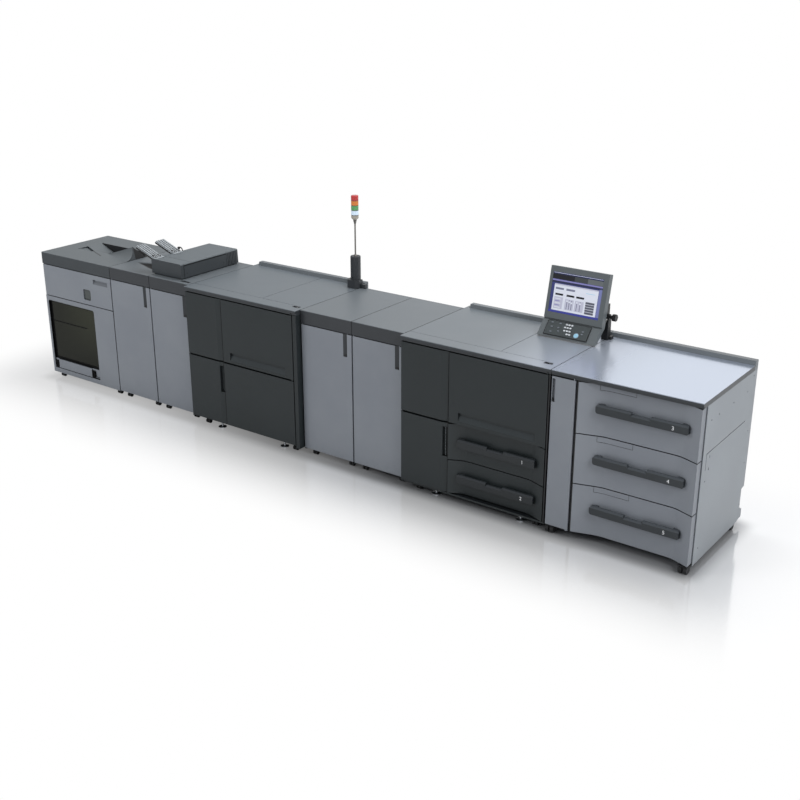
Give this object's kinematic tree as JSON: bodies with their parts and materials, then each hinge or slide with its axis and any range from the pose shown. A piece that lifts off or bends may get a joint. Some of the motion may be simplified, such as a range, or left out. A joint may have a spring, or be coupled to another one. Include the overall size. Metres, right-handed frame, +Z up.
{
  "type": "digital production printer",
  "caption": "Free-standing tandem production printer row: drawer feeder, printer engines, relay units, sheet inserter, folding unit and stacker, with tilting operation panel and signal lamp.",
  "frame": {"origin": "on the floor, in the middle of the row's length and depth", "axes": "+X along the row from stacker to feeder, +Y from the operator's side to the back, +Z up"},
  "size_m": [5.554, 0.797, 1.694],
  "materials": {
    "light_panel": "satin light grey paint",
    "side_panel": "satin pale grey paint",
    "handle_dark": "fine textured dark moulding",
    "top_plate": "satin grey paint",
    "dark_panel": "fine textured dark grey moulding",
    "band_dark": "fine textured charcoal moulding",
    "guide_grey": "fine textured pale grey moulding",
    "smoked_window": "smoked clear acrylic",
    "black_plastic": "fine textured black moulding",
    "foot_steel": "bright zinc plated steel",
    "caster_black": "dull black rubber and nylon",
    "lamp_housing": "fine textured charcoal moulding",
    "pole_metal": "satin anodised tube",
    "lens_stack": "glossy coloured lens rings",
    "screen": "glossy display sheet"
  },
  "bodies": {
    "frame": {"feeder_cabinet": "light_panel", "feeder_side_panel": "side_panel", "machine_tops": "top_plate", "engine_1_housing": "dark_panel", "engine_2_housing": "dark_panel", "engine_covers": "dark_panel", "unit_housings": "band_dark", "unit_tops": "top_plate", "inserter_box": "dark_panel", "inserter_guides": "guide_grey", "stacker_housing": "light_panel", "stacker_top": "top_plate", "stacker_cart": "black_plastic", "black_trims": "black_plastic", "levelling_feet": "foot_steel", "casters": "caster_black", "lamp_base": "lamp_housing", "lamp_pole": "pole_metal", "lamp_lenses": "lens_stack", "panel_post": "black_plastic"},
    "feeder_door": {"feeder_door": "light_panel"},
    "engine_1_front_door": {"engine_1_front_door": "dark_panel"},
    "engine_2_front_door": {"engine_2_front_door": "dark_panel"},
    "engine_1_side_door": {"engine_1_side_door": "dark_panel"},
    "engine_2_side_door": {"engine_2_side_door": "dark_panel"},
    "relay_1_door": {"relay_1_door": "light_panel"},
    "relay_2_door": {"relay_2_door": "light_panel"},
    "fold_door": {"fold_door": "light_panel"},
    "guide_door": {"guide_door": "light_panel"},
    "stacker_upper_door": {"stacker_upper_door": "light_panel"},
    "stacker_window_door": {"stacker_window_door": "light_panel", "stacker_window": "smoked_window"},
    "operation_panel": {"panel_arm": "black_plastic", "display": "dark_panel", "display_screen": "screen"},
    "drawer_3": {"drawer_3": "light_panel", "drawer_3_handle": "handle_dark"},
    "drawer_4": {"drawer_4": "light_panel", "drawer_4_handle": "handle_dark"},
    "drawer_5": {"drawer_5": "light_panel", "drawer_5_handle": "handle_dark"},
    "tray_1": {"tray_1": "dark_panel", "tray_1_handle": "handle_dark"},
    "tray_2": {"tray_2": "dark_panel", "tray_2_handle": "handle_dark"}
  },
  "joints": [
    {"name": "feeder_door_hinge", "type": "hinge", "parent": "frame", "child": "feeder_door", "pos_m": [2.005, -0.3945, 0.5], "axis": [0, 0, 1], "range_deg": [0, 90]},
    {"name": "engine_1_front_door_hinge", "type": "hinge", "parent": "frame", "child": "engine_1_front_door", "pos_m": [1.83, -0.3945, 0.77], "axis": [0, 0, 1], "range_deg": [0, 90]},
    {"name": "engine_2_front_door_hinge", "type": "hinge", "parent": "frame", "child": "engine_2_front_door", "pos_m": [-0.125, -0.3945, 0.77], "axis": [0, 0, 1], "range_deg": [0, 90]},
    {"name": "engine_1_side_door_hinge", "type": "hinge", "parent": "frame", "child": "engine_1_side_door", "pos_m": [0.798, -0.3945, 0.3], "axis": [0, 0, -1], "range_deg": [0, 90]},
    {"name": "engine_2_side_door_hinge", "type": "hinge", "parent": "frame", "child": "engine_2_side_door", "pos_m": [-1.111, -0.3945, 0.3], "axis": [0, 0, -1], "range_deg": [0, 90]},
    {"name": "relay_1_door_hinge", "type": "hinge", "parent": "frame", "child": "relay_1_door", "pos_m": [-0.064, -0.3465, 0.5], "axis": [0, 0, -1], "range_deg": [0, 90]},
    {"name": "relay_2_door_hinge", "type": "hinge", "parent": "frame", "child": "relay_2_door", "pos_m": [0.373, -0.3465, 0.5], "axis": [0, 0, -1], "range_deg": [0, 90]},
    {"name": "fold_door_hinge", "type": "hinge", "parent": "frame", "child": "fold_door", "pos_m": [-1.964, -0.3465, 0.5], "axis": [0, 0, -1], "range_deg": [0, 90]},
    {"name": "guide_door_hinge", "type": "hinge", "parent": "frame", "child": "guide_door", "pos_m": [-1.531, -0.3465, 0.5], "axis": [0, 0, -1], "range_deg": [0, 90]},
    {"name": "stacker_cover_hinge", "type": "hinge", "parent": "frame", "child": "stacker_upper_door", "pos_m": [-2.766, -0.3465, 0.82], "axis": [0, 0, -1], "range_deg": [0, 90]},
    {"name": "stacker_window_hinge", "type": "hinge", "parent": "frame", "child": "stacker_window_door", "pos_m": [-2.481, -0.3465, 0.09], "axis": [1, 0, 0], "range_deg": [0, 90]},
    {"name": "drawer_3_slide", "type": "slide", "parent": "frame", "child": "drawer_3", "axis": [0, -1, 0], "range_m": [0, 0.5]},
    {"name": "drawer_4_slide", "type": "slide", "parent": "frame", "child": "drawer_4", "axis": [0, -1, 0], "range_m": [0, 0.5]},
    {"name": "drawer_5_slide", "type": "slide", "parent": "frame", "child": "drawer_5", "axis": [0, -1, 0], "range_m": [0, 0.5]},
    {"name": "tray_1_slide", "type": "slide", "parent": "frame", "child": "tray_1", "axis": [0, -1, 0], "range_m": [0, 0.48]},
    {"name": "tray_2_slide", "type": "slide", "parent": "frame", "child": "tray_2", "axis": [0, -1, 0], "range_m": [0, 0.48]},
    {"name": "panel_tilt", "type": "hinge", "parent": "frame", "child": "operation_panel", "pos_m": [1.85, 0.2915, 1.185], "axis": [-1, 0, 0], "range_deg": [0, 25]}
  ]
}
